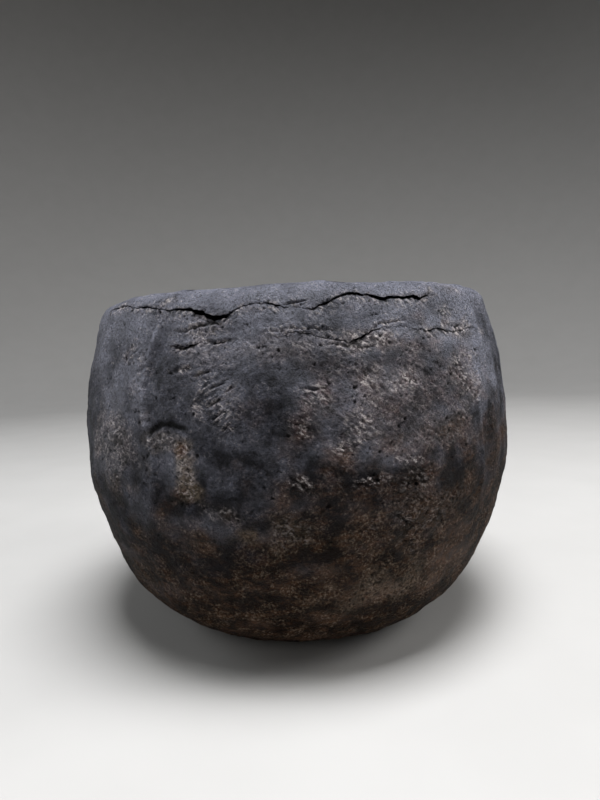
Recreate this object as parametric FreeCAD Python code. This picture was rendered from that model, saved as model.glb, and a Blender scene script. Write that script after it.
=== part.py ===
import FreeCAD, Part
import math
import os

# A round, hand-built clay pot with a closed floor and an open top.
# Millimetres, +Z up. The origin is the middle of the foot, and the front faces -Y.
# Each sub-part is one piece of clay as the potter laid it: a base disc, a lower bowl,
# four wall slabs, a collar band and four rim strips folded over the collar's tongue.
# Neighbours share one joint face, so the pieces close up to one smooth wall.

# ---- driving dimensions ----
BELLY_R = 175.0        # widest outer radius
HEIGHT = 260.0         # foot to the crest of the rim
FOOT_R = 86.0          # flat that the pot stands on
WALL = 15.0            # wall thickness, square to the surface
FLOOR = 20.0           # thickness of the floor
RIM_WIDTH = 23.0       # thickness of the rim at its root
RIM_CORNER = 17.0      # radius of the rim's outer shoulder
LIP_CORNER = 8.2       # radius of the rim's inner edge

# ---- joints ----
BASE_JOINT_R = 97.5    # radius where the base disc's bevel reaches the outside
BASE_BEVEL = 1.2       # inward run of that bevel for each millimetre of rise
BEVEL = 0.5            # rise of a level wall joint for each millimetre inwards
TONGUE_R = 145.0       # middle of the ridge on the collar that the rim strips sit over
TONGUE_WIDTH = 7.0
TONGUE_TOP = HEIGHT - 4.5
WALL_LAP = 7.0         # degrees that a wall lap turns between outside and inside
RIM_LAP = 11.0         # the same for a lap in the rim

# Azimuth of each piece's left-hand lap, in degrees from the front towards +X.
WALL_LAPS = {"front": -34.0, "right": 47.0, "back": 138.0, "left": 228.0}
RIM_LAPS = {"front_left": -31.0, "front_right": 6.0, "right": 35.0, "left": 176.0}

# Outer outline from the foot to the root of the rim, in shares of BELLY_R and HEIGHT.
OUTLINE = (
    (FOOT_R / BELLY_R, 0.0),
    (0.686, 0.058),
    (0.811, 0.138),
    (0.909, 0.269),
    (0.983, 0.431),
    (1.000, 0.577),
    (0.971, 0.781),
    (0.907, 0.954),
)
WALL_STATIONS = OUTLINE[2:-1]          # where the inside follows the outside
FLOOR_STATIONS = ((1.16, 1.32), (0.80, 1.0))   # inside curve in shares of FOOT_R and FLOOR

# Level joints round the outside, as (azimuth, height). They wander, as hand-laid clay does.
BOWL_EDGE = (
    (-75, 120), (-40, 124), (-12, 132), (0, 132), (26, 124), (47, 112),
    (80, 118), (120, 128), (165, 122), (215, 130), (255, 122),
)
COLLAR_EDGE = (
    (-80, 230), (-55, 228), (-27, 226), (-12, 227), (0, 230), (12, 226), (21, 232),
    (36, 229), (50, 229), (80, 233), (120, 228), (160, 232), (200, 227), (240, 231),
)
RIM_EDGE = (
    (-75, 250), (-55, 252), (-41, 250), (-27, 248), (-17, 242), (-8, 248), (4, 247),
    (14, 252), (21, 249), (32, 251), (55, 248), (90, 251), (125, 247), (160, 250),
    (200, 247), (240, 251),
)

# ---- construction ----
TURN = 360.0
REACH = BELLY_R * 1.15       # half-width of a joint sheet
SHEET_SPANS = 46             # spans of a joint sheet, each way
CORE_R = BELLY_R * 0.5       # inside this radius a joint sheet cuts nothing and lies level
FAR_R = BELLY_R * 1.6        # outside the pot everywhere
SECTOR_STEPS = 12
UP = FreeCAD.Vector(0, 0, 1)
ORIGIN = FreeCAD.Vector(0, 0, 0)


def in_section(radius, height):
    """Point of the section through the axis."""
    return FreeCAD.Vector(radius, 0, height)


def on_plan(azimuth, radius):
    """Point of the plan at an azimuth from the front."""
    angle = math.radians(azimuth)
    return FreeCAD.Vector(radius * math.sin(angle), -radius * math.cos(angle), 0)


def spline(points):
    curve = Part.BSplineCurve()
    curve.interpolate(points)
    return curve


def eased(share):
    """Smooth step from 0 to 1."""
    return share * share * (3.0 - 2.0 * share)


def outline_points(stations):
    return [in_section(r * BELLY_R, z * HEIGHT) for r, z in stations]


def inward(curve, point, depth):
    """The point at a depth inside the outline, square to it."""
    along = curve.tangent(curve.parameter(point))[0]
    return point + FreeCAD.Vector(-along.z, 0, along.x) * depth


def corner(centre, radius, degrees):
    """Point of a rounded edge; 0 degrees faces away from the axis, 90 faces up."""
    angle = math.radians(degrees)
    return centre + in_section(radius * math.cos(angle), radius * math.sin(angle))


def pot_solid():
    """The whole pot: its closed section turned about the axis."""
    outside = spline(outline_points(OUTLINE))
    root = outside.EndPoint
    drop = root.z - (HEIGHT - RIM_CORNER)
    crest = in_section(root.x - math.sqrt(RIM_CORNER ** 2 - drop ** 2), HEIGHT)
    shoulder = corner(crest - in_section(0, RIM_CORNER), RIM_CORNER, 54)
    lip = in_section(root.x - RIM_WIDTH, HEIGHT - 1.3 * LIP_CORNER)
    lip_round = corner(crest - in_section(0, LIP_CORNER), LIP_CORNER, 140)

    inner_points = [lip]
    for station in reversed(outline_points(WALL_STATIONS)):
        inner_points.append(inward(outside, station, WALL))
    for radius, height in FLOOR_STATIONS:
        inner_points.append(in_section(radius * FOOT_R, height * FLOOR))
    floor_middle = in_section(0, FLOOR)

    section = Part.Wire([
        Part.makeLine(ORIGIN, outside.StartPoint),
        outside.toShape(),
        Part.Arc(root, shoulder, crest).toShape(),
        Part.Arc(crest, lip_round, lip).toShape(),
        spline(inner_points).toShape(),
        Part.makeLine(inner_points[-1], floor_middle),
        Part.makeLine(floor_middle, ORIGIN),
    ])
    return Part.Face(section).revolve(ORIGIN, UP, TURN)


def edge_height(edge, azimuth):
    """Height of a level joint at one azimuth, eased from point to point."""
    first = edge[0]
    azimuth = first[0] + (azimuth - first[0]) % TURN
    stops = edge[1:] + ((first[0] + TURN, first[1]),)
    for (start, low), (end, high) in zip(edge, stops):
        if azimuth <= end:
            return low + (high - low) * eased((azimuth - start) / (end - start))


def below(edge, bevel):
    """Everything under a level joint: a wavy sheet that rises inwards, drawn down."""
    level = sum(height for _, height in edge) / len(edge)
    outside = spline(outline_points(OUTLINE))
    level_line = Part.makeLine(in_section(CORE_R, level), in_section(FAR_R, level))
    meeting = outside.toShape().distToShape(level_line)[1][0][0]
    ticks = [REACH * (2.0 * i / SHEET_SPANS - 1.0) for i in range(SHEET_SPANS + 1)]
    rows = []
    for x in ticks:
        row = []
        for y in ticks:
            radius = max(math.hypot(x, y), CORE_R)
            share = eased(min((radius - CORE_R) / (meeting.x - CORE_R), 1.0))
            wave = edge_height(edge, math.degrees(math.atan2(x, -y))) - level
            height = level + share * wave + bevel * (meeting.x - radius)
            row.append(FreeCAD.Vector(x, y, height))
        rows.append(row)
    sheet = Part.BSplineSurface()
    sheet.interpolate(rows)
    return sheet.toShape().extrude(UP * -2.0 * HEIGHT)


def base_cone():
    """Cone that holds the base disc; the bowl stands on its bevelled edge."""
    low = -FLOOR
    high = 2.0 * FLOOR
    joint_z = 0.25 * FLOOR
    low_r = BASE_JOINT_R + BASE_BEVEL * (joint_z - low)
    high_r = BASE_JOINT_R + BASE_BEVEL * (joint_z - high)
    return Part.makeCone(low_r, high_r, high - low, UP * low)


def tongue():
    """Round-topped ridge of the collar, turned about the axis."""
    half = 0.5 * TONGUE_WIDTH
    foot_z = HEIGHT - RIM_WIDTH
    inner = TONGUE_R - half
    outer = TONGUE_R + half
    side_z = TONGUE_TOP - half
    section = Part.Wire([
        Part.makeLine(in_section(inner, foot_z), in_section(outer, foot_z)),
        Part.makeLine(in_section(outer, foot_z), in_section(outer, side_z)),
        Part.Arc(in_section(outer, side_z), in_section(TONGUE_R, TONGUE_TOP),
                 in_section(inner, side_z)).toShape(),
        Part.makeLine(in_section(inner, side_z), in_section(inner, foot_z)),
    ])
    return Part.Face(section).revolve(ORIGIN, UP, TURN)


def lap_line(azimuth, lap, outer_r, thickness):
    """Plan of a lap: ends well inside and well outside the wall it crosses."""
    outside = on_plan(azimuth, outer_r)
    inside = on_plan(azimuth + lap, outer_r - thickness)
    run = outside - inside
    return inside - run * 0.7, outside + run * 0.7


def sector(start, end, lap, outer_r, thickness):
    """Upright block between the laps at two azimuths."""
    end = start + (end - start) % TURN
    first_in, first_out = lap_line(start, lap, outer_r, thickness)
    last_in, last_out = lap_line(end, lap, outer_r, thickness)
    azimuths = [start + (end - start) * i / SECTOR_STEPS for i in range(SECTOR_STEPS + 1)]
    outline = [first_in, first_out]
    outline += [on_plan(azimuth, FAR_R) for azimuth in azimuths]
    outline += [last_out, last_in]
    outline += [on_plan(azimuth, CORE_R) for azimuth in reversed(azimuths)]
    outline.append(first_in)
    plan = Part.Face(Part.makePolygon(outline))
    return plan.extrude(UP * 2.0 * HEIGHT)


def split_by_laps(ring, laps, lap, outer_r, thickness, name):
    """Cut a ring of clay into pieces at its laps."""
    starts = list(laps.values())
    ends = starts[1:] + starts[:1]
    pieces = {}
    for side, start, end in zip(laps, starts, ends):
        block = sector(start, end, lap, outer_r, thickness)
        pieces[name.format(side)] = ring.common(block)
    return pieces


def pot_pieces():
    """Every piece of clay by name."""
    pot = pot_solid()
    base = base_cone()
    bowl_top = below(BOWL_EDGE, BEVEL)
    wall_top = below(COLLAR_EDGE, BEVEL)
    collar_top = below(RIM_EDGE, 0.0).fuse(tongue())
    rim_r = OUTLINE[-1][0] * BELLY_R

    wall = pot.cut(bowl_top).common(wall_top)
    rim = pot.cut(collar_top)
    pieces = {
        "base_disc": pot.common(base),
        "lower_bowl": pot.cut(base).common(bowl_top),
        "collar_band": pot.cut(wall_top).common(collar_top),
    }
    pieces.update(split_by_laps(wall, WALL_LAPS, WALL_LAP, BELLY_R, WALL, "{}_wall_slab"))
    pieces.update(split_by_laps(rim, RIM_LAPS, RIM_LAP, rim_r, RIM_WIDTH, "rim_strip_{}"))
    return pieces


os.makedirs("parts", exist_ok=True)
for node, shape in pot_pieces().items():
    shape.Solids[0].exportStep("parts/" + node + ".step")
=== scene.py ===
import math
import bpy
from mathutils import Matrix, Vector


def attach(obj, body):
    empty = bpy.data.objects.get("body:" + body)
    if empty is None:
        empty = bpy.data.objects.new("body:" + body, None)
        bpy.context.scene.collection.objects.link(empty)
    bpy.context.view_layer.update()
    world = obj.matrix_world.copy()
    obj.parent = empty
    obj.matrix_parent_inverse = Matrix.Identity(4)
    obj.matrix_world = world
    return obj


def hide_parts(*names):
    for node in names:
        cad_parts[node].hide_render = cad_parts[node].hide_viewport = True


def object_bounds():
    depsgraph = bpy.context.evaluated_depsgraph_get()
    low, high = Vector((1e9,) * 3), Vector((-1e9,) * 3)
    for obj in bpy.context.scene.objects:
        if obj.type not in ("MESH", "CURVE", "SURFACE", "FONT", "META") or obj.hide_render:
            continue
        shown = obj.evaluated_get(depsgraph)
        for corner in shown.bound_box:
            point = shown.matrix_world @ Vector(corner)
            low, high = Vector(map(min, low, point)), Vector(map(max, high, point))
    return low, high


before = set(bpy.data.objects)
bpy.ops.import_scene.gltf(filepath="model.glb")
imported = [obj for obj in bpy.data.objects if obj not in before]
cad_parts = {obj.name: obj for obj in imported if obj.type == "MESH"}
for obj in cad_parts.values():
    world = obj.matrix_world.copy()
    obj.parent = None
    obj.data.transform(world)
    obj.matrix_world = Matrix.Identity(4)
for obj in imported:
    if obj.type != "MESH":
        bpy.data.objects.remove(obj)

from types import SimpleNamespace

import bmesh
import bpy
import numpy as np
from mathutils import Euler, Quaternion, Vector, noise
from mathutils.bvhtree import BVHTree
from mathutils.kdtree import KDTree

# A hand-built pot of smoked black clay. Every piece of clay in the frame is built again
# here as a finely meshed closed shell with its lumps, cracks, gouges and pits.
# Lengths are in millimetres until a mesh is made. Azimuth is in degrees from the front
# (-Y) towards +X. "Along" is the distance along the section, from the axis to the crest.

cad_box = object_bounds()
MM = 0.001
TURN = 360.0
HEIGHT = cad_box[1].z / MM
BELLY_R = cad_box[1].x / MM
FAR = 2.0 * BELLY_R                     # well outside the pot, where the probes start
CLEAR_AZIMUTH = 20                      # no lap is near here

BASE = ("base_disc",)
BOWL = ("lower_bowl",)
WALLS = ("front_wall_slab", "right_wall_slab", "back_wall_slab", "left_wall_slab")
COLLAR = ("collar_band",)
RIMS = ("rim_strip_front_left", "rim_strip_front_right", "rim_strip_right", "rim_strip_left")
LEVELS = (BASE, BOWL, WALLS, COLLAR, RIMS)
LEVEL_OF = {name: level for level, names in enumerate(LEVELS) for name in names}
TOP_LEVEL = len(LEVELS) - 1
RING_LEVELS = (0, 1, 3)                 # one piece each, all the way round
COLLAR_JOINT, RIM_JOINT = 2, 3          # a joint has the number of the level below it

# ---- mesh steps in mm on the outside, and how many times coarser the inside's rows are ----
STEPS = {"base_disc": 2.0, "lower_bowl": 1.5, "collar_band": 0.62, "front_wall_slab": 0.74}
STEPS.update({name: 0.95 for name in WALLS[1:]})
STEPS.update({name: 0.5 for name in RIMS[:2]})
STEPS.update({name: 0.75 for name in RIMS[2:]})
INSIDE_COARSER = 3.0
RIM_INSIDE_COARSER = 1.4

# ---- the wander of the rim and collar joints at the front: (azimuth, height) ----
RIM_LINE = (
    (-58, 251), (-51, 254), (-44, 252.5), (-41, 250), (-38, 252), (-35, 249.6), (-30, 248.2),
    (-23, 247.2), (-20, 243.5), (-17, 241), (-14.5, 242.2), (-12, 245.5), (-10.5, 248.4),
    (-4.3, 248.2), (-1.7, 246.2), (1, 244.6), (4.2, 243.2), (6.1, 245.4), (8.2, 248.2),
    (10.4, 250.8), (12.3, 252.9), (17.7, 252.3), (19, 249.9), (20.7, 248.5), (23, 250.1),
    (29.7, 250), (31, 248.8), (33, 251), (38, 251),
)
COLLAR_LINE = (
    (-30, 226), (-24, 224.5), (-20, 226.5), (-14, 227), (-8, 228), (-3, 227.8), (1, 231),
    (5, 227.5), (9, 224.5), (11.6, 222.3), (14, 225.5), (18, 231), (24, 231.5), (30, 228.3),
    (33.5, 230), (41.5, 227.7), (49, 230), (56, 231),
)
# How far each joint stands open, in mm: (azimuth, gap).
RIM_GAPS = (
    (-60, 0.0), (-55, 0.5), (-48, 0.8), (-42, 0.4), (-37, 0.9), (-31, 0.4), (-26, 1.2),
    (-22, 2.4), (-18, 3.0), (-15, 2.4), (-12.5, 0.7), (-8, 0.3), (-4, 1.0), (-2, 0.5),
    (0, 0.0), (2.5, 0.1), (5, 1.0), (7, 1.3), (13, 1.5), (17, 1.1), (20, 2.0), (24, 1.2),
    (29, 1.6), (31.5, 1.4), (34, 0.3), (37, 0.0), (70, 0.0), (90, 0.9), (110, 0.0),
    (125, 0.0), (140, 1.3), (160, 0.0), (190, 0.0), (206, 1.0), (230, 0.0),
)
COLLAR_GAPS = (
    (-29, 0.0), (-26, 0.5), (-22, 0.9), (-20, 0.1), (-17, 0.7), (-13, 0.0), (-3, 0.0), (2, 0.5),
    (6, 0.3), (11, 0.8),
    (13.5, 1.6), (17, 0.8), (20, 0.1), (27, 0.2), (31, 0.6), (37, 0.7), (41, 0.1), (46, 0.5),
    (50, 0.0), (95, 0.0), (110, 0.8), (135, 0.0), (195, 0.0), (210, 0.9), (235, 0.0),
)

# ---- cracks: (azimuth, height) points, width and depth ----
CRACKS = (
    (((-27.2, 234.3), (-23.5, 234.2), (-22, 236.5), (-17.6, 238.2), (-15.4, 237.1)), 0.9, 1.3),
    (((-27.2, 225.2), (-24.6, 223.2), (-21.5, 225.5)), 1.1, 1.4),
    (((-19, 228), (-16, 226.6), (-12.2, 227.4)), 0.9, 1.0),
    (((17, 229.5), (19, 233.4), (21.6, 234.3), (25.5, 235)), 0.8, 0.8),
    (((-6, 231.5), (-1, 232.5), (5, 232), (9, 230.5)), 0.7, 0.6),
    (((7.5, 222), (11, 221), (15, 219.5), (18.5, 221)), 0.8, 0.8),
    (((33, 250), (34.6, 252.5), (35.6, 257)), 0.8, 1.0),
    (((-31.5, 249.5), (-31, 253), (-30.2, 256.5)), 0.7, 1.2),
    (((-2, 246.8), (0.6, 247.6), (3.9, 249)), 0.6, 1.3),
    (((-2.3, 146.6), (0, 141.5), (1.8, 136.4)), 0.9, 1.0),
    (((20, 117.5), (22, 112), (23.2, 109), (24.6, 105.5)), 1.2, 2.0),
    (((10.3, 138.3), (13.5, 139), (16.3, 140.2)), 0.8, 1.0),
    (((-18.2, 188), (-16.6, 190.5), (-14.8, 193)), 1.1, 1.6),
    (((-17.6, 198.5), (-16, 201), (-14.4, 202.5)), 0.8, 1.2),
    (((-16.8, 180.5), (-15.4, 183.5), (-14.2, 185.5)), 0.8, 1.2),
    (((-14.2, 196.5), (-13, 199), (-11.8, 200.5)), 0.7, 1.0),
    (((-14.8, 173), (-13.6, 176), (-12.8, 179)), 0.7, 1.1),
    (((-21.5, 206.5), (-19.2, 208), (-17.6, 209)), 0.9, 1.2),
    (((-27, 209), (-24.6, 210.5), (-22, 212)), 1.4, 0.9),
    (((-1.5, 178), (1, 175.5), (3.6, 172.5)), 1.0, 1.0),
    (((1, 197.5), (4, 196.6), (7, 197.6)), 0.8, 1.0),
)
ARCH = ((-33.8, 166), (-32.6, 172), (-30, 176.4), (-27, 177), (-23.6, 174.5), (-21.6, 171))
ARCH_WIDTH, ARCH_DEPTH = 2.3, 2.1

# ---- patches of clay: azimuth, height, half-width in degrees, half-height, and how strong
# each of PATCH_KINDS is there. Rough clay is torn and pitted, and pale clay is scuffed ----
PATCH_KINDS = ("rough", "pale", "brown", "tan", "red")
PATCHES = (
    (24, 185, 26, 44, 0.5, 0.25, 0.3, 0.0, 0.28),
    (-17, 192, 5, 19, 0.9, 0.8, 0.0, 0.0, 0.0),
    (-20, 231, 8, 8, 0.7, 0.6, 0.0, 0.1, 0.0),
    (3, 222, 26, 9, 0.5, 0.3, 0.1, 0.1, 0.0),
    (14, 223, 11, 9, 0.9, 0.8, 0.1, 0.2, 0.0),
    (4.5, 194, 4, 6, 0.7, 0.7, 0.2, 0.0, 0.5),
    (12.5, 177, 5.5, 12, 1.0, 1.0, 0.1, 0.1, 0.2),
    (11, 163, 4, 5, 0.9, 1.0, 0.1, 0.0, 0.2),
    (13, 209, 7, 6, 0.7, 0.4, 0.1, 0.0, 0.2),
    (20, 199, 7, 8, 0.8, 1.0, 0.1, 0.1, 0.4),
    (22.5, 150, 5, 5, 0.9, 1.0, 0.3, 0.0, 0.3),
    (2.8, 171, 2.2, 2.4, 0.8, 0.7, 0.3, 0.0, 0.3),
    (0, 143, 2.4, 5, 0.8, 1.0, 0.3, 0.0, 0.0),
    (14, 141.5, 5, 3.5, 0.85, 0.9, 0.4, 0.0, 0.1),
    (25, 137, 6, 8, 0.8, 0.3, 0.8, 0.0, 0.3),
    (27, 112, 11, 25, 1.0, 0.2, 1.0, 0.1, 0.2),
    (41, 200, 7, 26, 0.9, 0.8, 0.2, 0.1, 0.35),
    (33, 228, 17, 4, 0.9, 0.9, 0.0, 0.2, 0.0),
    (40, 228, 8, 7, 0.9, 1.0, 0.0, 0.2, 0.0),
    (37.5, 240, 5, 5, 0.8, 0.8, 0.0, 0.1, 0.0),
    (31, 168, 9, 16, 0.6, 0.3, 0.4, 0.1, 0.1),
    (-46, 160, 12, 28, 0.8, 0.6, 0.0, 0.2, 0.0),
    (-41, 219, 6, 9, 0.85, 0.7, 0.0, 0.0, 0.0),
    (-38, 199, 4, 18, 0.45, 0.45, 0.0, 0.0, 0.0),
    (-23.2, 149, 3.6, 20, 0.8, 0.7, 0.0, 0.9, 0.0),
    (-24, 161, 2.2, 4, 0.6, 0.0, 0.9, 0.0, 0.9),
    (-25, 131, 3.4, 6, 0.9, 0.1, 0.8, 0.1, 0.8),
    (-30, 165, 6, 9, 0.8, 0.6, 0.0, 0.3, 0.0),
    (-16, 120, 6, 9, 0.7, 0.75, 0.1, 0.1, 0.0),
    (-3, 111, 6, 9, 0.7, 0.4, 0.4, 0.2, 0.1),
    (18, 63, 14, 15, 0.6, 0.1, 1.0, 0.6, 0.2),
    (-11, 109, 5, 6, 0.6, 0.1, 0.9, 0.5, 0.1),
    (-30.5, 253.5, 2.4, 4, 1.0, 0.9, 0.0, 0.2, 0.0),
    (-51, 254.5, 6, 2.5, 0.5, 0.7, 0.0, 0.1, 0.0),
    (-26, 245, 5, 4, 0.7, 0.5, 0.0, 0.1, 0.0),
    (44, 256, 6, 5, 1.0, 0.4, 0.1, 0.1, 0.0),
    (100, 190, 16, 24, 0.9, 0.6, 0.2, 0.1, 0.2),
    (124, 222, 10, 12, 0.8, 0.7, 0.1, 0.1, 0.1),
    (142, 150, 12, 24, 0.8, 0.4, 0.6, 0.1, 0.3),
    (172, 205, 14, 16, 0.9, 0.7, 0.1, 0.1, 0.2),
    (186, 160, 8, 14, 0.8, 0.5, 0.3, 0.1, 0.4),
    (208, 150, 9, 30, 0.8, 0.5, 0.3, 0.2, 0.2),
    (226, 220, 10, 10, 0.7, 0.6, 0.1, 0.1, 0.0),
    (244, 192, 12, 20, 0.8, 0.5, 0.1, 0.2, 0.1),
    (150, 92, 26, 12, 0.5, 0.1, 0.9, 0.5, 0.1),
    (200, 104, 14, 12, 0.6, 0.3, 0.6, 0.4, 0.1),
    (270, 120, 16, 20, 0.6, 0.3, 0.5, 0.2, 0.1),
)

# ---- how pale the smoked clay is: paler towards the top by height, and then the blotches that change it, as
# (azimuth, height, half-width in degrees, half-height, change) ----
ASH_BY_HEIGHT = (
    (0, 0.02), (110, 0.06), (150, 0.14), (200, 0.32), (228, 0.55), (245, 0.78), (262, 0.9),
)
ASH = (
    (-50, 225, 13, 22, 0.3), (-37, 214, 2.2, 32, 0.4), (-42, 194, 9, 24, 0.45),
    (-29, 196, 4, 34, -0.1), (-13, 222, 10, 8, 0.4), (-15, 194, 6, 16, 0.35),
    (-7, 184, 7, 28, -0.14), (12, 177, 6, 14, 0.4), (20, 197, 8, 10, 0.7), (6, 212, 12, 6, -0.12),
    (38, 229, 18, 11, 0.85), (29, 172, 12, 14, 0.3), (20, 153, 6, 7, 0.5), (-24, 232, 10, 7, 0.2),
    (-25, 241, 7, 5, 0.3), (-6, 236, 12, 6, 0.1), (22, 235, 9, 6, -0.12), (-30, 168, 5, 8, 0.3),
    # (50, 206, ...) is the pale upright band on the right flank: partly scraped clay, partly a
    # painted sheen
    (50, 206, 8, 30, 1.0), (45, 228, 9, 9, 0.3), (61, 200, 4, 30, -0.15), (4, 225, 5, 6, 0.2),
    (-10, 214, 4, 6, 0.2), (-36, 128, 9, 9, 0.2), (70, 182, 5, 40, 0.35), (-50, 154, 9, 24, 0.35),
    (-34, 150, 13, 18, 0.3), (-20, 153, 9, 9, 0.3), (9, 159, 8, 9, 0.4), (-3, 131, 6, 6, 0.2),
    (-4, 158, 8, 13, 0.16), (30, 147, 6, 6, 0.2), (-21, 113, 8, 11, 0.4), (-7, 105, 4, 7, 0.25),
    (-15, 106, 14, 8, 0.16), (37, 84, 13, 26, 0.34), (18, 62, 13, 12, 0.3),
    (18, 140, 22, 8, -0.14), (23, 158, 19, 7, 0.2), (5, 108, 4, 9, -0.12),
    (-16, 84, 22, 20, -0.12), (110, 214, 24, 20, 0.35), (92, 150, 12, 30, 0.25),
    (150, 178, 16, 26, 0.3), (190, 222, 20, 14, 0.4), (182, 176, 9, 20, -0.2),
    (215, 180, 10, 30, 0.3), (245, 208, 14, 20, 0.35), (270, 170, 14, 22, 0.25),
    (170, 90, 22, 22, 0.3), (230, 110, 16, 16, 0.25),
)
# Height up to which the clay is brown from the fire: (azimuth, height).
BROWN_LINE = (
    (-70, 112), (-35, 110), (-14, 116), (-4, 142), (8, 152), (25, 160), (45, 166), (70, 156),
    (110, 140), (160, 120), (210, 146), (260, 118),
)

# ---- how the two front laps wander: (height, degrees from the lap's own azimuth) ----
LAP_WANDER = {
    "front_wall_slab": (
        (114, 0.1), (135, 1.5), (151, 2.2), (165, 1.2), (178, -0.3), (199, -1.2), (219, -0.2),
        (236, 1.6), (243, 2.8),
    ),
    "right_wall_slab": ((110, 0.4), (153, -1.0), (181, -2.0), (200, 0.3), (214, 1.9), (235, 3.9)),
}
PIT_COUNT = 9000       # over the whole outside, before the chance of each one is drawn
PIT_SEED = 11


# ---- reading the frame ----
def cad_tree():
    """A search tree of every CAD face, and the node that each face belongs to."""
    points, faces, owners = [], [], []
    for name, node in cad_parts.items():
        first = len(points)
        points += [vertex.co / MM for vertex in node.data.vertices]
        for face in node.data.polygons:
            faces.append([first + corner for corner in face.vertices])
            owners.append(name)
    return BVHTree.FromPolygons(points, faces), owners


TREE, OWNERS = cad_tree()


def outward(azimuth):
    """The level direction away from the axis at an azimuth."""
    angle = math.radians(azimuth)
    return Vector((math.sin(angle), -math.cos(angle), 0.0))


def from_outside(azimuth, height):
    """Radius of the outside at a height, and the node there."""
    start = outward(azimuth) * FAR + Vector((0, 0, height))
    point, _, face, _ = TREE.ray_cast(start, -outward(azimuth))
    return point.xy.length, OWNERS[face]


def from_axis(azimuth, height):
    """Radius of the inside at a height, and the node there."""
    point, _, face, _ = TREE.ray_cast(Vector((0, 0, height)), outward(azimuth))
    return point.xy.length, OWNERS[face]


def from_above(azimuth, radius):
    """Height of the clay at a radius, seen from above, and the node there."""
    start = outward(azimuth) * radius + Vector((0, 0, FAR))
    point, _, face, _ = TREE.ray_cast(start, Vector((0, 0, -1)))
    return point.z, OWNERS[face]


def averaged(probe, place):
    """A reading averaged round the pot, so that mesh facets don't show."""
    return sum(probe(azimuth, place)[0] for azimuth in range(0, 360, 30)) / 12


def resampled(points):
    """A section line at even steps, lightly smoothed, with its outward normals."""
    points = np.array(points)
    along = np.concatenate([[0], np.cumsum(np.hypot(*np.diff(points, axis=0).T))])
    even = np.linspace(0, along[-1], int(along[-1]) + 1)
    radius = np.interp(even, along, points[:, 0])
    height = np.interp(even, along, points[:, 1])
    for line in (radius, height):
        for _ in range(4):
            line[1:-1] = 0.25 * (line[:-2] + line[2:]) + 0.5 * line[1:-1]
    slope_r = np.gradient(radius, even)
    slope_h = np.gradient(height, even)
    return SimpleNamespace(along=even, radius=radius, height=height,
                           normal_r=slope_h, normal_h=-slope_r)


def sections():
    """The outside and inside section lines, both from the axis to the crest."""
    shoulder_drop, lip_drop, floor_reach = 5.0, 2.4, 0.55 * BELLY_R
    radii = np.arange(0.72 * BELLY_R, 0.92 * BELLY_R, 0.25)
    tops = [from_above(CLEAR_AZIMUTH, radius)[0] for radius in radii]
    crest_r = radii[int(np.argmax(tops))]

    outside = [(0.0, 0.0)]
    outside.append((averaged(from_outside, 0.3) - 1.0, 0.0))
    for height in np.arange(1.0, HEIGHT - shoulder_drop, 1.5):
        outside.append((averaged(from_outside, height), height))
    for radius in np.arange(outside[-1][0] - 0.7, crest_r, -0.7):
        outside.append((radius, averaged(from_above, radius)))
    outside.append((crest_r, HEIGHT))

    inside = []
    for radius in np.arange(0.0, floor_reach, 2.0):
        inside.append((radius, averaged(from_above, radius)))
    for height in np.arange(inside[-1][1] + 0.7, HEIGHT - lip_drop, 1.5):
        inside.append((averaged(from_axis, height), height))
    for radius in np.arange(inside[-1][0] + 0.6, crest_r, 0.6):
        inside.append((radius, averaged(from_above, radius)))
    inside.append((crest_r, HEIGHT))

    outer, inner = resampled(outside), resampled(inside)
    inner.normal_r, inner.normal_h = -inner.normal_r, -inner.normal_h
    return outer, inner


OUTER, INNER = sections()
DEGREES = np.arange(-180.0, 180.0, 1.0)


def eased(share):
    """0 up to 0, 1 from 1 on, and smooth between."""
    share = np.clip(share, 0.0, 1.0)
    return share * share * (3.0 - 2.0 * share)


def round_the_pot(stops, azimuth):
    """Value between (azimuth, value) stops, for any azimuth."""
    places, values = np.array(stops, float).T
    return np.interp(azimuth, places, values, period=TURN)


def along_at(line, height):
    """Distance along a section line where the wall reaches a height."""
    rising = line.height > line.height[0] + 0.5
    return np.interp(height, line.height[rising], line.along[rising])


def joint_height(azimuth, level, probe, low):
    """Height where the clay of one level ends and the next begins, found by halving."""
    high = HEIGHT - 0.5
    halvings = 12
    for _ in range(halvings):
        middle = 0.5 * (low + high)
        if LEVEL_OF[probe(azimuth, middle)[1]] <= level:
            low = middle
        else:
            high = middle
    return low


def joint_lines():
    """Distance along each section line of every level joint, once a degree."""
    outer, inner = [], []
    floor = INNER.height[0]
    for level in range(TOP_LEVEL):
        heights = [joint_height(azimuth, level, from_outside, 0.5) for azimuth in DEGREES]
        outer.append(along_at(OUTER, np.array(heights)))
        heights = [joint_height(azimuth, level, from_axis, floor + 4.0) for azimuth in DEGREES]
        inner.append(along_at(INNER, np.array(heights)))
    radii = np.arange(0.3 * BELLY_R, 0.8 * BELLY_R, 0.5)
    on_base = [radius for radius in radii if from_above(CLEAR_AZIMUTH, radius)[1] == BASE[0]]
    inner[0] = np.full(len(DEGREES), np.interp(on_base[-1], INNER.radius, INNER.along))
    return outer, inner


OUTER_JOINTS, INNER_JOINTS = joint_lines()


def lap_starts(names, probe, height):
    """Azimuth where each piece of a level begins, in order round the pot."""
    angles = np.arange(-180.0, 180.0, 0.25)
    owners = [probe(angle, height)[1] for angle in angles]
    starts = {}
    for name in names:
        mine = np.array([owner == name for owner in owners])
        starts[name] = angles[np.flatnonzero(mine & ~np.roll(mine, 1))[0]]
    return starts


WALL_HEIGHT = 0.7 * HEIGHT
RIM_HEIGHT = HEIGHT - 4.0
OUTER_LAPS = lap_starts(WALLS, from_outside, WALL_HEIGHT)
OUTER_LAPS.update(lap_starts(RIMS, from_outside, RIM_HEIGHT))
INNER_LAPS = lap_starts(WALLS, from_axis, WALL_HEIGHT)
INNER_LAPS.update(lap_starts(RIMS, from_axis, RIM_HEIGHT))


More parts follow.
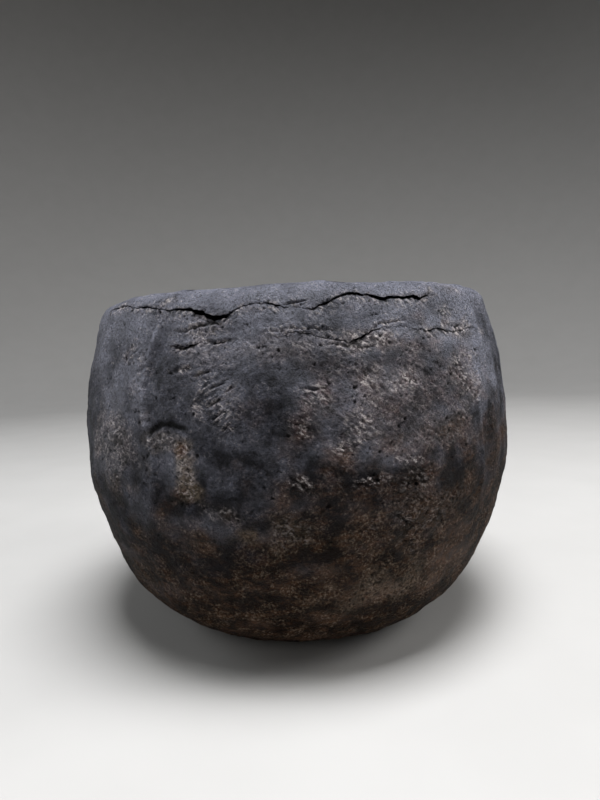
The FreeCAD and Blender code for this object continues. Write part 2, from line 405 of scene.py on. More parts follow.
# ---- noise ----
TWIST = np.array(Euler((0.7, 0.5, 0.4)).to_matrix())     # keeps the noise off the axes


def clouds(place, size, seed, octaves=1, flat=1.0):
    """Smooth noise of about -1 to 1, with features of a size; flat squeezes them upright."""
    scale = np.array([1.0, 1.0, flat]) / size
    spots = ((place * scale) @ TWIST + seed * 31.7).tolist()
    return np.array([noise.fractal(spot, 1.0, 2.17, octaves) for spot in spots])


def wobble(value, size, seed):
    """Smooth noise of about -1 to 1 along one line."""
    spots = np.asarray(value) / size
    values = [noise.noise((spot, seed * 7.3, 0.5)) for spot in spots.ravel()]
    return np.array(values).reshape(spots.shape)


# ---- where the joints run ----
def ring_place(azimuth, radius, height):
    """Points, or directions, from azimuths, radii and heights."""
    angle = np.radians(azimuth)
    return np.stack([radius * np.sin(angle), -radius * np.cos(angle), height], axis=-1)


def joint_jitter(azimuth, level):
    """Fine ragged wander of a joint line, in mm."""
    place = ring_place(azimuth, BELLY_R, np.zeros_like(azimuth)).reshape(-1, 3)
    rough = 1.2 * clouds(place, 7.0, 40 + level, 2) + 0.7 * clouds(place, 2.2, 50 + level)
    return rough.reshape(azimuth.shape)


def front_line(stops):
    """Azimuths and distances along the outside of a joint at the front, corners eased."""
    azimuths = np.arange(stops[0][0], stops[-1][0], 0.4)
    line = along_at(OUTER, round_the_pot(stops, azimuths))
    for _ in range(6):
        line[1:-1] = 0.25 * (line[:-2] + line[2:]) + 0.5 * line[1:-1]
    return azimuths, line


FRONT_LINES = {RIM_JOINT: front_line(RIM_LINE), COLLAR_JOINT: front_line(COLLAR_LINE)}


def outer_joint(azimuth, level):
    """Distance along the outside of a level joint at any azimuth."""
    along = np.interp(azimuth, DEGREES, OUTER_JOINTS[level], period=TURN)
    if level in FRONT_LINES:
        azimuths, line = FRONT_LINES[level]
        wrapped = (azimuth + 180.0) % TURN - 180.0
        near = eased((wrapped - azimuths[0]) / 6.0) * eased((azimuths[-1] - wrapped) / 4.0)
        along = along + near * (np.interp(wrapped, azimuths, line) - along)
    if level > 0:
        along = along + joint_jitter(azimuth, level)
    return along


def inner_joint(azimuth, level):
    """Distance along the inside of a level joint at any azimuth."""
    return np.interp(azimuth, DEGREES, INNER_JOINTS[level], period=TURN)


def joint_gap(azimuth, level):
    """Width that a level joint stands open."""
    if level == RIM_JOINT:
        return round_the_pot(RIM_GAPS, azimuth)
    if level == COLLAR_JOINT:
        return round_the_pot(COLLAR_GAPS, azimuth)
    return np.zeros_like(azimuth)


def lap_sway(name, height):
    """Degrees that a lap wanders at a height."""
    seed = 60 + (WALLS + RIMS).index(name)
    fine = 0.2 * wobble(height, 5.0, seed + 20)
    if name in LAP_WANDER:
        return fine + np.interp(height, *np.array(LAP_WANDER[name]).T)
    return fine + 1.6 * wobble(height, 38.0, seed)


def lap_of(name, along, inside=False):
    """Azimuth of a piece's left-hand lap at distances along the section."""
    line, laps = (INNER, INNER_LAPS) if inside else (OUTER, OUTER_LAPS)
    height = np.interp(along, line.along, line.height)
    return laps[name] + lap_sway(name, height)


# ---- grids of a piece ----
def graded(length, step):
    """Shares of a length from 0 to 1, about a step apart and closer at both ends."""
    near = step * np.array([0.0, 0.35, 0.8, 1.4])
    count = max(int(round((length - 2 * near[-1]) / step)), 2)
    middle = np.linspace(near[-1], length - near[-1], count + 1)[1:-1]
    return np.concatenate([near, middle, length - near[::-1]]) / length


def bounds_along(azimuth, level, inside):
    """Where a level's clay starts and ends along the section."""
    joint = inner_joint if inside else outer_joint
    line = INNER if inside else OUTER
    low = np.zeros_like(azimuth)
    high = np.full_like(azimuth, line.along[-1])
    if level > 0:
        low = joint(azimuth, level - 1)
    if level < TOP_LEVEL:
        high = joint(azimuth, level)
    if not inside and level > 0:
        low = low + 0.5 * joint_gap(azimuth, level - 1)
    if not inside and level < TOP_LEVEL:
        high = high - 0.5 * joint_gap(azimuth, level)
    return low, high


def next_piece(name):
    """The piece of the same level to the right of a piece."""
    names = LEVELS[LEVEL_OF[name]]
    return names[(names.index(name) + 1) % len(names)]


def face_grid(name, turn_shares, rise_shares, inside):
    """Azimuth and distance along the section of a piece's outer or inner face."""
    level = LEVEL_OF[name]
    turn = turn_shares[:, None] + 0.0 * rise_shares[None, :]
    rise = 0.0 * turn + rise_shares[None, :]
    if level in RING_LEVELS:
        azimuth = -180.0 + TURN * turn
    else:
        following = next_piece(name)
        laps = INNER_LAPS if inside else OUTER_LAPS
        width = (laps[following] - laps[name]) % TURN
        azimuth = laps[name] + width * turn
        low, high = bounds_along(azimuth, level, inside)
        along = low + (high - low) * rise
        start = lap_of(name, along, inside)
        end = lap_of(following, along, inside)
        azimuth = start + ((end - start) % TURN) * turn
    low, high = bounds_along(azimuth, level, inside)
    return azimuth, low + (high - low) * rise


def make_skin(name, azimuth, along, inside):
    """Everything that the relief needs to know about the points of one face."""
    line = INNER if inside else OUTER
    radius = np.interp(along, line.along, line.radius)
    height = np.interp(along, line.along, line.height)
    normal_r = np.interp(along, line.along, line.normal_r)
    normal_h = np.interp(along, line.along, line.normal_h)
    return SimpleNamespace(
        name=name, inside=inside, shape=azimuth.shape,
        azimuth=((azimuth + 180.0) % TURN - 180.0).ravel(), along=along.ravel(),
        radius=radius.ravel(), height=height.ravel(),
        place=ring_place(azimuth, radius, height).reshape(-1, 3),
        normal=ring_place(azimuth, normal_r, normal_h).reshape(-1, 3),
    )


# ---- relief: each function returns mm outwards ----
def lumps(skin):
    """Slow swell and the press of fingers."""
    slow = 1.3 * clouds(skin.place, 85.0, 1, 2)
    presses = 1.5 * clouds(skin.place, 33.0, 2, 2)
    dents = 0.65 * clouds(skin.place, 12.0, 9, 3)
    smears = 0.5 * clouds(skin.place * np.array([1.0, 1.0, 0.3]), 17.0, 3, 2)
    return slow + presses + dents + smears


def within(skin, azimuth, height, half_turn, half_height, ragged):
    """1 inside a blotch with a ragged soft edge, 0 outside."""
    turn = (skin.azimuth - azimuth + 180.0) % TURN - 180.0
    reach = np.hypot(turn / half_turn, (skin.height - height) / half_height)
    return eased((1.35 - reach + ragged) / 1.2)


def patch_masks(skin):
    """Strength of each kind of patch at every point; all clay is brown low down."""
    masks = {kind: np.zeros(len(skin.azimuth)) for kind in PATCH_KINDS}
    ragged = 0.8 * clouds(skin.place, 17.0, 4, 4)
    top = round_the_pot(BROWN_LINE, skin.azimuth)
    masks["brown"] = eased((top - skin.height) / 105.0 + 0.36 + 0.6 * ragged)
    for azimuth, height, half_turn, half_height, *strengths in PATCHES:
        inside = within(skin, azimuth, height, half_turn, half_height, ragged)
        for kind, strength in zip(PATCH_KINDS, strengths):
            masks[kind] = np.maximum(masks[kind], strength * inside)
    return masks


def ash_mask(skin):
    """How far the smoked clay goes from charcoal to ash grey, 0 to 1, with a painted highlight
    along the crest of each lap ridge.
    """
    ash = np.interp(skin.height, *np.array(ASH_BY_HEIGHT).T)
    ragged = 0.5 * clouds(skin.place, 22.0, 14, 3)
    for azimuth, height, half_turn, half_height, change in ASH:
        ash = ash + change * within(skin, azimuth, height, half_turn, half_height, ragged)
    for name in WALLS:
        # painted highlight: the raised crest just left of each wall lap is painted paler
        crest = np.exp(-((lap_distance(skin, name) + 3.0) / 1.8) ** 2)
        ash = ash + 0.5 * crest * eased((skin.height - 0.55 * HEIGHT) / 30.0)
    smeared = skin.place * np.array([1.0, 1.0, 0.12])
    side = eased((skin.azimuth - 40.0) / 12.0) * eased((100.0 - skin.azimuth) / 20.0)
    ash = ash + 0.3 * side * clouds(smeared, 11.0, 15, 2)
    low = eased((135.0 - skin.height) / 50.0)
    ash = ash + 0.3 * low * clouds(skin.place, 32.0, 17, 4, flat=2.6)
    return np.clip(ash + 0.28 * clouds(skin.place, 26.0, 16, 4), 0.0, 1.0)


def joint_distance(skin, level):
    """Distance from a level joint, square to it, positive above."""
    line = outer_joint(DEGREES, level)
    slope = np.gradient(line, np.radians(1.0) * 0.9 * BELLY_R)
    tilt = np.interp(skin.azimuth, DEGREES, np.hypot(1.0, slope), period=TURN)
    return (skin.along - outer_joint(skin.azimuth, level)) / tilt


def lap_distance(skin, name):
    """Distance round the pot from a lap, positive to its right, in mm."""
    turn = (skin.azimuth - lap_of(name, skin.along) + 180.0) % TURN - 180.0
    return np.radians(turn) * skin.radius


def crumble(masks, closeness):
    """Crumbly pale clay along an open edge; closeness is 1 at the edge and 0 far away."""
    masks["rough"] = np.maximum(masks["rough"], 0.8 * closeness)
    masks["pale"] = np.maximum(masks["pale"], 0.9 * closeness)


def joint_relief(skin, masks):
    """Rolled edges where a joint stands open, with the clay above a little proud."""
    relief = np.zeros(len(skin.azimuth))
    for level in (COLLAR_JOINT, RIM_JOINT):
        away = joint_distance(skin, level)
        gap = joint_gap(skin.azimuth, level)
        proud = np.minimum(0.5 * gap, 0.9)
        crumble(masks, eased(gap) * np.exp(-((away + 2.0) / 4.0) ** 2))
        relief -= 0.9 * np.minimum(gap, 1.5) * np.exp(-np.abs(away) / (0.45 + 0.3 * gap))
        relief += np.where(away > 0, proud, -0.7 * proud) * np.exp(-np.abs(away) / 6.0)
    return relief


def lap_relief(skin):
    """Soft upright ridges where the slabs lap, and steps between the rim strips."""
    relief = np.zeros(len(skin.azimuth))
    on_wall = eased((skin.height - 0.42 * HEIGHT) / 20.0)
    on_wall = on_wall * eased((0.94 * HEIGHT - skin.height) / 14.0)
    on_rim = eased((skin.height - 0.955 * HEIGHT) / 4.0)
    for name in WALLS:
        away = lap_distance(skin, name)
        ridge = 1.5 * np.exp(-((away + 3.0) / 2.4) ** 2) - 1.5 * np.exp(-((away - 5.0) / 8.0) ** 2)
        ticks = 0.5 * wobble(skin.height, 1.6, 90) * np.exp(-((away + 3.0) / 3.0) ** 2)
        groove = -0.4 * np.exp(-np.abs(away - 0.5) / 0.8)
        relief += on_wall * (ridge + ticks + groove)
    for name in RIMS:
        away = lap_distance(skin, name)
        step = np.where(away < 0, 0.8, -0.5) * np.exp(-np.abs(away) / 8.0)
        relief += on_rim * (step - 0.5 * np.exp(-np.abs(away) / 1.0))
    return relief


def line_distance(skin, points):
    """Distance to a ragged line of (azimuth, height) points, and the share of the line there."""
    reach_x, reach_y, far_away = 9.0, 40.0, 99.0
    heights = along_at(OUTER, np.array([height for _, height in points]))
    middle = sum(azimuth for azimuth, _ in points) / len(points)
    turn = (skin.azimuth - middle + 180.0) % TURN - 180.0
    scale = np.radians(1.0) * np.interp(heights.mean(), OUTER.along, OUTER.radius)
    x, y = turn * scale, skin.along
    ends_x = [(azimuth - middle) * scale for azimuth, _ in points]
    close_x = np.abs(x) < max(map(abs, ends_x)) + reach_x
    close_y = np.abs(y - heights.mean()) < reach_y
    near = np.flatnonzero(close_x & close_y)
    away = np.full(len(x), far_away)
    share = np.zeros(len(x))
    if not len(near):
        return away, share
    spots = skin.place[near]
    px = x[near] + 0.9 * clouds(spots, 4.5, 70, 2)
    py = y[near] + 0.9 * clouds(spots, 4.5, 71, 2)
    count = len(points) - 1
    for i in range(count):
        ax, ay = ends_x[i], heights[i]
        dx, dy = ends_x[i + 1] - ax, heights[i + 1] - ay
        t = np.clip(((px - ax) * dx + (py - ay) * dy) / (dx ** 2 + dy ** 2), 0, 1)
        d = np.hypot(px - ax - t * dx, py - ay - t * dy)
        closer = d < away[near]
        away[near] = np.where(closer, d, away[near])
        share[near] = np.where(closer, (i + t) / count, share[near])
    return away, share


def crack_relief(skin, masks):
    """Open cracks with raised lips, deepest in their middle, and the fingertip arch."""
    relief = np.zeros(len(skin.azimuth))
    for points, width, depth in CRACKS:
        away, share = line_distance(skin, points)
        strength = np.sqrt(np.clip(np.sin(np.pi * np.clip(share, 0.04, 0.96)), 0, 1))
        crumble(masks, strength * np.exp(-(away / 3.0) ** 2))
        relief -= depth * strength * np.exp(-(away / width) ** 2)
        relief += 0.25 * depth * strength * np.exp(-((away - 2.4 * width) / width) ** 2)
    away, share = line_distance(skin, ARCH)
    strength = np.sqrt(np.sin(np.pi * np.clip(share, 0.04, 0.96)))
    relief -= ARCH_DEPTH * strength * np.exp(-(away / ARCH_WIDTH) ** 2)
    return relief


def torn_clay(skin):
    """Slanting shreds of torn clay, about -1 to 1; they slant the other way at the far left."""
    slant = 0.7 * np.abs(skin.place[:, 0] + 22.0)
    tilted = skin.place.copy()
    tilted[:, 2] += slant
    return clouds(tilted, 3.6, 5, 4, flat=1.8)


def rough_relief(skin, masks):
    """Torn clay in the rough patches and fine grit everywhere."""
    torn = torn_clay(skin)
    grit = clouds(skin.place, 3.0, 6, 3)
    # pale on the raised tops of the torn clay: partly scuffed clay, partly painted highlight
    masks["shred"] = eased((torn - 0.12) / 0.4) * masks["pale"] * masks["rough"]
    torn = np.where(torn > 0, 0.5, 1.0) * torn
    return masks["rough"] * torn + (0.3 + 0.4 * masks["rough"]) * grit


def pit_relief(skin, masks):
    """Small pits left by lost grains, thicker in the rough patches."""
    relief = np.zeros(len(skin.azimuth))
    chance = np.random.default_rng(PIT_SEED + len(skin.name) + LEVEL_OF[skin.name])
    whole_skin = 2.2 * math.pi * BELLY_R * HEIGHT
    count = int(PIT_COUNT * len(relief) * STEPS[skin.name] ** 2 / whole_skin)
    centres = chance.integers(0, len(relief), count)
    shifts = [clouds(skin.place, 1.5, seed) for seed in (75, 76, 77)]
    warped = skin.place + 0.8 * np.stack(shifts, axis=1)
    tree = KDTree(len(relief))
    for index, spot in enumerate(warped.tolist()):
        tree.insert(spot, index)
    tree.balance()
    for centre in centres:
        likely = 0.14 + 0.86 * masks["rough"][centre]
        if chance.random() > likely:
            continue
        width = 0.45 + 0.65 * chance.random() ** 4
        depth = width * (0.9 + 0.8 * chance.random())
        for _, index, away in tree.find_range(warped[centre], 1.8 * width):
            relief[index] = min(relief[index], -depth * math.exp(-(away / width) ** 4))
    return relief


def inner_relief(skin):
    """The inside: lumps, drawn finger tracks and grit."""
    tracks = 0.7 * clouds(skin.place, 70.0, 7, 2, flat=6.0)
    return 0.8 * lumps(skin) + tracks + 0.3 * clouds(skin.place, 6.0, 8, 3)


def rim_unevenness(skin):
    """The crest isn't level: it stands a little high to the right and sags at the left."""
    crest = eased((skin.height - 0.93 * HEIGHT) / (0.07 * HEIGHT))
    right = within(skin, 52.0, HEIGHT, 26.0, 0.1 * HEIGHT, 0.0)
    left = within(skin, -62.0, HEIGHT, 22.0, 0.1 * HEIGHT, 0.0)
    return crest * (1.6 * right - 0.8 * left)


def relief_of(skin):
    """All relief of a face, and the masks that colour it."""
    masks = patch_masks(skin)
    if skin.inside:
        relief = inner_relief(skin)
        masks = {name: 0.4 * mask for name, mask in masks.items()}
        masks["hollow"] = masks["shred"] = 0.0 * relief
    else:
        fine = joint_relief(skin, masks) + crack_relief(skin, masks)
        fine = fine + rough_relief(skin, masks)
        pits = pit_relief(skin, masks)
        relief = lumps(skin) + lap_relief(skin) + fine + pits
        # painted shade: the deeper the cracks, gouges and pits sink, the darker their clay is
        # painted
        masks["hollow"] = np.clip(-fine / 1.3 - pits / 0.6 - 0.15, 0.0, 1.0)
    masks["ash"] = ash_mask(skin)
    relief = relief + rim_unevenness(skin)
    if skin.inside:
        return relief, masks
    above_foot = eased(skin.height / (0.05 * HEIGHT))
    level_foot = 0.2 * np.minimum(relief, 0.0)      # nothing stands out below the foot
    return above_foot * relief + (1.0 - above_foot) * level_foot, masks


# ---- building a piece ----
JOINT_SHARES = (0.08, 0.3, 0.6)         # where a joint face's own rows run across the wall
MASKS = ("pale", "brown", "tan", "red", "shred", "ash", "hollow")


def stitched(first, first_shares, second, second_shares):
    """Triangles between two rows of vertices that run the same way."""
    faces = []
    i = j = 0
    while i < len(first) - 1 or j < len(second) - 1:
        last_i, last_j = i == len(first) - 1, j == len(second) - 1
        if last_j or (not last_i and first_shares[i + 1] <= second_shares[j + 1]):
            faces.append((first[i], first[i + 1], second[j]))
            i += 1
        else:
            faces.append((first[i], second[j + 1], second[j]))
            j += 1
    return faces


def rows_of(name):
    """Shares of the rise of a piece's outer rows, upwards, and of its inner rows, downwards."""
    level = LEVEL_OF[name]
    step = STEPS[name]
    low, high = bounds_along(DEGREES, level, False)
    inner_low, inner_high = bounds_along(DEGREES, level, True)
    coarse = step * (RIM_INSIDE_COARSER if name in RIMS else INSIDE_COARSER)
    inner_count = max(int(np.mean(inner_high - inner_low) / coarse), 4)
    inner_down = np.linspace(0, 1, inner_count)[::-1]
    if name in RIMS:
        inner_down = inner_down[1:]         # the last outer row is already on the crest
    return graded(float(np.mean(high - low)), step), inner_down


def turns_of(name):
    """Shares of the turn round the pot where a piece's columns of points stand."""
    low, high = bounds_along(DEGREES, LEVEL_OF[name], False)
    middle_r = float(np.interp(np.mean(0.5 * (low + high)), OUTER.along, OUTER.radius))
    if LEVEL_OF[name] in RING_LEVELS:
        count = int(TURN * math.radians(middle_r) / STEPS[name])
        return np.linspace(0, 1, count, endpoint=False)
    width = (OUTER_LAPS[next_piece(name)] - OUTER_LAPS[name]) % TURN
    return graded(width * math.radians(middle_r), STEPS[name])


def shaped_face(name, turn, rise, inside):
    """Points of a piece's outer or inner face with their relief, and the masks there."""
    azimuth, along = face_grid(name, turn, rise, inside)
    skin = make_skin(name, azimuth, along, inside)
    relief, masks = relief_of(skin)
    points = (skin.place + skin.normal * relief[:, None]).reshape(skin.shape + (3,))
    return points, {key: mask.reshape(skin.shape) for key, mask in masks.items()}


def closed_columns(outer, inner, over, under):
    """Columns of points: up the outside, over the top, down the inside and back below."""
    above = [outer[:, -1] + (inner[:, 0] - outer[:, -1]) * share for share in over]
    below = [inner[:, -1] + (outer[:, 0] - inner[:, -1]) * (1 - share) for share in under[::-1]]
    parts = [outer] + [row[:, None] for row in above] + [inner] + [row[:, None] for row in below]
    return np.concatenate(parts, axis=1)


def mask_columns(key, outer, inner, over, under):
    """A mask's value at every point of the columns; the joint faces get the full painted shade of
    the cracks and pits.
    """
    fill = 1.0 if key == "hollow" else 0.0
    count = len(outer)
    parts = [outer, np.full((count, len(over)), fill), inner, np.full((count, len(under)), fill)]
    return np.concatenate(parts, axis=1)


def column_faces(row, count, size, ring):
    """Four-sided faces between neighbouring columns; a ring also joins its last to its first."""
    column = np.arange(count if ring else count - 1)
    here = column[:, None] * size
    right = ((column + 1) % count)[:, None] * size
    up = (row + 1) % size
    quads = np.stack([here + row, right + row, right + up, here + up], axis=-1)
    return quads.reshape(-1, 4).tolist()


def build_piece(name):
    """One piece of clay as a closed mesh."""
    ring = LEVEL_OF[name] in RING_LEVELS
    turn = turns_of(name)
    outer_rise, inner_down = rows_of(name)
    over = () if name in RIMS else JOINT_SHARES
    under = () if name in BASE else JOINT_SHARES
    outer, outer_masks = shaped_face(name, turn, outer_rise, False)
    inner, inner_masks = shaped_face(name, turn, inner_down, True)
    points = closed_columns(outer, inner, over, under)
    values = {}
    for key in MASKS:
        values[key] = mask_columns(key, outer_masks[key], inner_masks[key], over, under)

    count, size = points.shape[:2]
    first_inner = len(outer_rise) + len(over)
    last_inner = first_inner + len(inner_down) - 1
    row = np.arange(size - 1 if name in BASE else size)
    on_skin = (row < len(outer_rise) - 1) | ((row >= first_inner) & (row < last_inner))
    faces = column_faces(row, count, size, ring)
    smooth = np.tile(on_skin, len(faces) // len(row)).tolist()
    if not ring:
        outer_path = list(range(size - 1, last_inner, -1)) + list(range(first_inner))
        shares = [0.0] * len(under) + list(outer_rise) + [1.0] * len(over)
        inner_path = list(range(last_inner, first_inner - 1, -1))
        cap = stitched(outer_path, shares, inner_path, list(inner_down[::-1]))
        end = (count - 1) * size
        faces += cap + [tuple(end + corner for corner in reversed(face)) for face in cap]
        smooth += [False] * (2 * len(cap))
    return make_mesh(name, points.reshape(-1, 3), faces, smooth, values)


def make_mesh(name, points, faces, smooth, values):
    """A Blender object that stands for a CAD node, with its masks as attributes."""
    mesh = bpy.data.meshes.new(name + "_clay")
    mesh.from_pydata((points * MM).tolist(), [], faces)
    mesh.polygons.foreach_set("use_smooth", smooth)
    for key, value in values.items():
        layer = mesh.attributes.new(key, "FLOAT", "POINT")
        layer.data.foreach_set("value", value.ravel().astype(np.float32))
    tidy = bmesh.new()
    tidy.from_mesh(mesh)
    bmesh.ops.remove_doubles(tidy, verts=tidy.verts, dist=1e-7)
    bmesh.ops.recalc_face_normals(tidy, faces=tidy.faces)
    tidy.to_mesh(mesh)
    tidy.free()
    piece = bpy.data.objects.new(name + "_clay", mesh)
    bpy.context.scene.collection.objects.link(piece)
    return piece


# ---- materials ----
def linear(red, green, blue):
    """A colour given as it looks on screen, from 0 to 255."""
    return tuple((value / 255) ** 2.2 for value in (red, green, blue)) + (1.0,)


SLATE = linear(131, 133, 148)
CHAR = linear(35, 35, 41)
UMBER = linear(33, 22, 15)
EARTH = linear(113, 79, 55)
HAZE = linear(136, 121, 121)
# near white: real scuffs, and painted highlight on the raised shreds and specks
SCUFF_AND_HIGHLIGHT = linear(242, 232, 230)
TAN = linear(168, 150, 128)
RED = linear(78, 40, 32)
# near black: painted shade in cracks, pits and joint faces, and where the grain and specks sink,
# partly their dark tone and partly painted shade
GRAIN_AND_SHADE_BLACK = linear(6, 5, 5)


class Nodes:
    """Short names for the shader nodes that a material is made of."""

    def __init__(self, name):
        self.material = bpy.data.materials.new(name)
        self.material.use_nodes = True
        self.tree = self.material.node_tree
        self.shader = self.tree.nodes["Principled BSDF"]
        self.place = self.add("ShaderNodeTexCoord").outputs["Object"]

    def add(self, kind, **settings):
        node = self.tree.nodes.new(kind)
        for key, value in settings.items():
            setattr(node, key, value)
        return node

    def link(self, value, socket):
        if isinstance(value, bpy.types.NodeSocket):
            self.tree.links.new(value, socket)
        else:
            socket.default_value = value

    def mask(self, name):
        return self.add("ShaderNodeAttribute", attribute_name=name).outputs["Fac"]

    def noise(self, size, detail=2.0, roughness=0.5, stretch=(1, 1, 1), tilt=0.0):
        """Noise from 0 to 1 with features of a size in mm."""
        tilted = self.add("ShaderNodeMapping")
        tilted.inputs["Rotation"].default_value = (0, math.radians(tilt), 0)
        self.link(self.place, tilted.inputs["Vector"])
        off_axis = self.add("ShaderNodeMapping")
        off_axis.inputs["Scale"].default_value = stretch
        off_axis.inputs["Rotation"].default_value = (0.7, 0.5, 0.4)
        self.link(tilted.outputs["Vector"], off_axis.inputs["Vector"])
        texture = self.add("ShaderNodeTexNoise")
        self.link(off_axis.outputs["Vector"], texture.inputs["Vector"])
        texture.inputs["Lacunarity"].default_value = 2.17
        texture.inputs["Scale"].default_value = 1.0 / (size * MM)
        texture.inputs["Detail"].default_value = detail
        texture.inputs["Roughness"].default_value = roughness
        return texture.outputs["Fac"]

    def ramp(self, value, low, high):
        """0 below low, 1 above high, and smooth between."""
        node = self.add("ShaderNodeMapRange", interpolation_type="SMOOTHSTEP")
        self.link(value, node.inputs["Value"])
        node.inputs["From Min"].default_value = low
        node.inputs["From Max"].default_value = high
        return node.outputs["Result"]

    def math(self, operation, first, second):
        node = self.add("ShaderNodeMath", operation=operation)
        self.link(first, node.inputs[0])
        self.link(second, node.inputs[1])
        return node.outputs[0]

    def times(self, first, second):
        return self.math("MULTIPLY", first, second)

    def plus(self, first, second):
        return self.math("ADD", first, second)

    def mix(self, first, second, share):
        node = self.add("ShaderNodeMix", data_type="RGBA")
        self.link(share, node.inputs["Factor"])
        self.link(first, node.inputs["A"])
        self.link(second, node.inputs["B"])
        return node.outputs["Result"]

    def bump(self, height, depth, normal=None):
        node = self.add("ShaderNodeBump")
        node.inputs["Strength"].default_value = 1.0
        node.inputs["Distance"].default_value = depth * MM
        self.link(height, node.inputs["Height"])
        if normal is not None:
            self.link(normal, node.inputs["Normal"])
        return node.outputs["Normal"]


def clay_noises(n):
    """The noises that clay is coloured by, from coarse to fine."""
    return SimpleNamespace(
        mottle=n.noise(12.0, 6.0, 0.7),
        strokes=n.noise(6.0, 4.0, 0.7, stretch=(0.6, 0.6, 1.8)),
        shreds=n.noise(2.4, 3.0, 0.65, stretch=(0.6, 0.6, 1.4), tilt=-30.0),
        specks=n.noise(1.8, 4.0, 0.75),
        grain=n.noise(1.0, 2.0, 0.7),
    )


def fired_colour(n, noises, wear):
    """Charcoal to ash grey where smoke reached the clay, and brown where fire did."""
    brown = n.mask("brown")
    ash = n.plus(n.mask("ash"), n.times(n.math("SUBTRACT", noises.mottle, 0.5), 1.7))
    grey = n.mix(CHAR, SLATE, n.plus(ash, wear))
    streaks = n.times(n.ramp(noises.strokes, 0.45, 0.65), 0.35)
    earth = n.mix(UMBER, EARTH, n.plus(streaks, n.times(ash, 0.9)))
    return n.mix(grey, earth, n.times(brown, n.ramp(noises.mottle, 0.12, 0.38)))


def patched_colour(n, noises, colour):
    """Haze, tan and red patches, pale scuffs, and the pale on the raised shreds, which is partly
    scuffed clay and partly painted highlight.
    """
    mottle, specks = noises.mottle, noises.specks
    pale = n.mask("pale")
    colour = n.mix(colour, HAZE, n.times(pale, n.times(n.ramp(mottle, 0.45, 0.65), 0.6)))
    tan_share = n.plus(0.25, n.times(n.ramp(specks, 0.4, 0.6), 0.5))
    colour = n.mix(colour, TAN, n.times(n.mask("tan"), tan_share))
    colour = n.mix(colour, RED, n.times(n.mask("red"), n.ramp(mottle, 0.42, 0.62)))
    scuffed = n.times(n.times(pale, n.ramp(noises.shreds, 0.54, 0.64)), n.ramp(mottle, 0.36, 0.54))
    colour = n.mix(colour, SCUFF_AND_HIGHLIGHT, n.times(scuffed, 0.95))
    # pale on the raised shreds where the specks stand high: partly scuffed clay, partly painted
    # highlight
    torn = n.times(n.mask("shred"), n.times(n.ramp(specks, 0.36, 0.55), 0.95))
    return n.mix(colour, SCUFF_AND_HIGHLIGHT, torn)


def grained_colour(n, noises, colour, sand):
    """Pale flecks, partly pale grit and partly painted highlight, and sand grains; near black
    where the grain and specks sink, partly their dark tone and partly painted shade; painted shade
    in the cracks and pits.
    """
    mottle, specks = noises.mottle, noises.specks
    # pale where the specks, which are also the bump's height, stand high: partly pale grit, partly
    # painted highlight
    flecked = n.times(n.ramp(specks, 0.54, 0.68), n.ramp(mottle, 0.42, 0.62))
    fleck_share = n.plus(0.12, n.times(n.mask("ash"), 0.6))
    colour = n.mix(colour, SCUFF_AND_HIGHLIGHT, n.times(flecked, fleck_share))
    sandy = n.times(n.ramp(specks, 0.48, 0.64), n.ramp(mottle, 0.4, 0.6))
    colour = n.mix(colour, TAN, n.times(n.times(n.mask("brown"), sandy), sand))
    # where the grain and specks are low their bump sinks too: the darkening there is partly their
    # dark tone and partly painted shade in the crevices
    colour = n.mix(colour, GRAIN_AND_SHADE_BLACK, n.times(n.ramp(noises.grain, 0.46, 0.34), 0.5))
    colour = n.mix(colour, GRAIN_AND_SHADE_BLACK, n.times(n.ramp(specks, 0.47, 0.34), 0.85))
    # painted shade in the cracks, gouges, pits and open joints
    return n.mix(colour, GRAIN_AND_SHADE_BLACK, n.times(n.mask("hollow"), 0.9))


def clay(name, sand, wear):
    """Unglazed smoked clay; sand is how sandy it is, wear how far hands have rubbed it."""
    n = Nodes(name)
    noises = clay_noises(n)
    colour = fired_colour(n, noises, wear)
    colour = patched_colour(n, noises, colour)
    colour = grained_colour(n, noises, colour, sand)
    n.link(colour, n.shader.inputs["Base Color"])
    roughness = n.plus(0.5, n.times(n.ramp(noises.mottle, 0.3, 0.7), 0.22))
    n.link(roughness, n.shader.inputs["Roughness"])
    n.shader.inputs["Diffuse Roughness"].default_value = 0.6
    shine = n.plus(0.1, n.times(n.mask("ash"), 0.33))
    n.link(shine, n.shader.inputs["Specular IOR Level"])
    n.link(n.bump(noises.grain, 2.0, n.bump(noises.specks, 4.0)), n.shader.inputs["Normal"])
    return n.material


# ---- stage, light and camera ----
def sweep_floor():
    """A pale floor that curves up far away, all the way round; lengths here are in metres."""
    sides, bends, flat, far, rise = 96, 16, 1.8, 4.2, 5.0
    rings = [(0.02, 0.0), (0.4, 0.0), (0.9, 0.0), (flat, 0.0)]
    for i in range(1, bends + 1):
        angle = math.radians(90.0 * i / bends)
        rings.append((flat + (far - flat) * math.sin(angle), rise * (1.0 - math.cos(angle))))
    points, faces = [], []
    for radius, height in rings:
        for i in range(sides):
            angle = 2 * math.pi * i / sides
            points.append((radius * math.cos(angle), radius * math.sin(angle), height))
    for ring in range(len(rings) - 1):
        for i in range(sides):
            here = ring * sides + i
            right = ring * sides + (i + 1) % sides
            faces.append((here, right, right + sides, here + sides))
    faces.append(tuple(range(sides))[::-1])
    mesh = bpy.data.meshes.new("floor")
    mesh.from_pydata(points, [], faces)
    mesh.polygons.foreach_set("use_smooth", [True] * len(mesh.polygons))
    floor = bpy.data.objects.new("floor", mesh)
    bpy.context.scene.collection.objects.link(floor)
    n = Nodes("pale_floor")
    shade = n.ramp(n.noise(90.0, 3.0), 0.2, 0.8)
    colour = n.mix((0.405, 0.397, 0.385, 1), (0.42, 0.412, 0.4, 1), shade)
    n.link(colour, n.shader.inputs["Base Color"])
    n.shader.inputs["Roughness"].default_value = 0.9
    mesh.materials.append(n.material)
    return floor


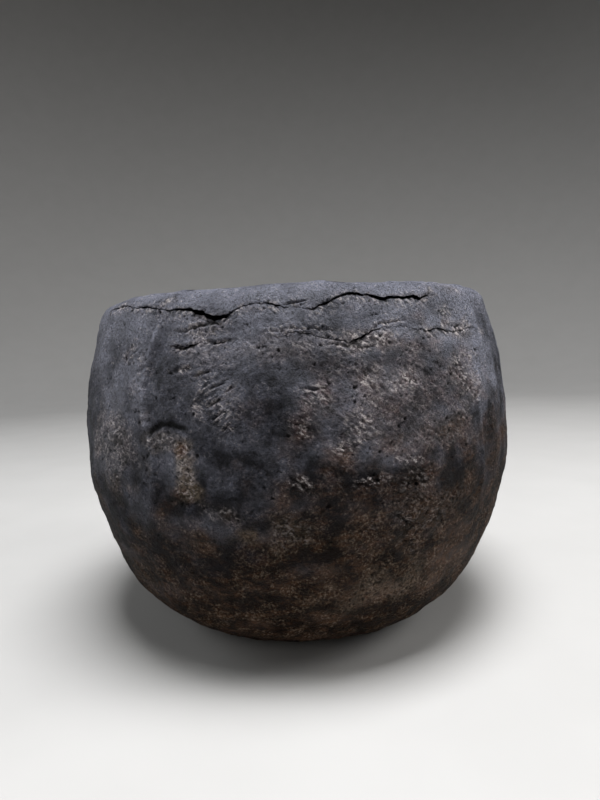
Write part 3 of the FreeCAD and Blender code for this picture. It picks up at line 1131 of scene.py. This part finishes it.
def softbox(name, place, target, size, watts, colour=(1, 1, 1)):
    """A soft rectangular light at a place in metres, turned to its target."""
    lamp = bpy.data.lights.new(name, "AREA")
    lamp.shape = "RECTANGLE"
    lamp.size, lamp.size_y = size
    lamp.energy = watts
    lamp.color = colour
    light = bpy.data.objects.new(name, lamp)
    light.location = place
    light.rotation_mode = "QUATERNION"
    light.rotation_quaternion = (Vector(target) - Vector(place)).to_track_quat("-Z", "Y")
    bpy.context.scene.collection.objects.link(light)


def light_scene():
    """Four soft lights and a faint even glow."""
    middle = (0, 0, 0.6 * HEIGHT * MM)
    softbox("top", (0.15, -0.3, 1.9), middle, (1.0, 0.7), 69, (0.97, 0.98, 1.0))
    softbox("front", (-0.6, -2.2, 1.5), middle, (1.4, 1.0), 5.3, (1.0, 0.98, 0.96))
    softbox("right", (1.7, -0.1, 1.1), middle, (0.6, 0.9), 17)
    softbox("left", (-1.7, 0.3, 0.9), middle, (0.7, 1.0), 8.5, (0.93, 0.97, 1.0))
    world = bpy.data.worlds.new("studio")
    world.use_nodes = True
    backdrop = world.node_tree.nodes["Background"]
    backdrop.inputs["Color"].default_value = (0.75, 0.77, 0.8, 1)
    backdrop.inputs["Strength"].default_value = 0.08
    bpy.context.scene.world = world
    bpy.context.scene.view_settings.view_transform = "Standard"


def add_camera():
    """A phone's wide view from just below the rim, a little rolled."""
    distance, eye, aside = 1.956 * HEIGHT, 0.869 * HEIGHT, 0.011 * HEIGHT
    pitch, roll = math.radians(-5.96), math.radians(2.25)
    data = bpy.data.cameras.new("camera")
    data.lens = 26.0
    camera = bpy.data.objects.new("camera", data)
    camera.location = Vector((aside, -distance, eye)) * MM
    camera.rotation_mode = "QUATERNION"
    facing = Vector((0, math.cos(pitch), math.sin(pitch)))
    camera.rotation_quaternion = facing.to_track_quat("-Z", "Y") @ Quaternion((0, 0, 1), -roll)
    bpy.context.scene.collection.objects.link(camera)
    bpy.context.scene.camera = camera


# ---- assembly ----
SLOTS = {"base_disc": "brown_clay", "lower_bowl": "brown_clay", "collar_band": "smoked_clay"}
SLOTS.update({name: "smoked_clay" for name in WALLS})
SLOTS.update({name: "rubbed_clay" for name in RIMS})
CLAYS = {
    "brown_clay": clay("brown_clay", sand=0.5, wear=0.0),
    "smoked_clay": clay("smoked_clay", sand=0.3, wear=0.0),
    "rubbed_clay": clay("rubbed_clay", sand=0.1, wear=0.06),
}
for node, slot in SLOTS.items():
    piece = build_piece(node)
    piece.data.materials.append(CLAYS[slot])
    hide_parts(node)
    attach(piece, "root")

sweep_floor()
light_scene()
add_camera()
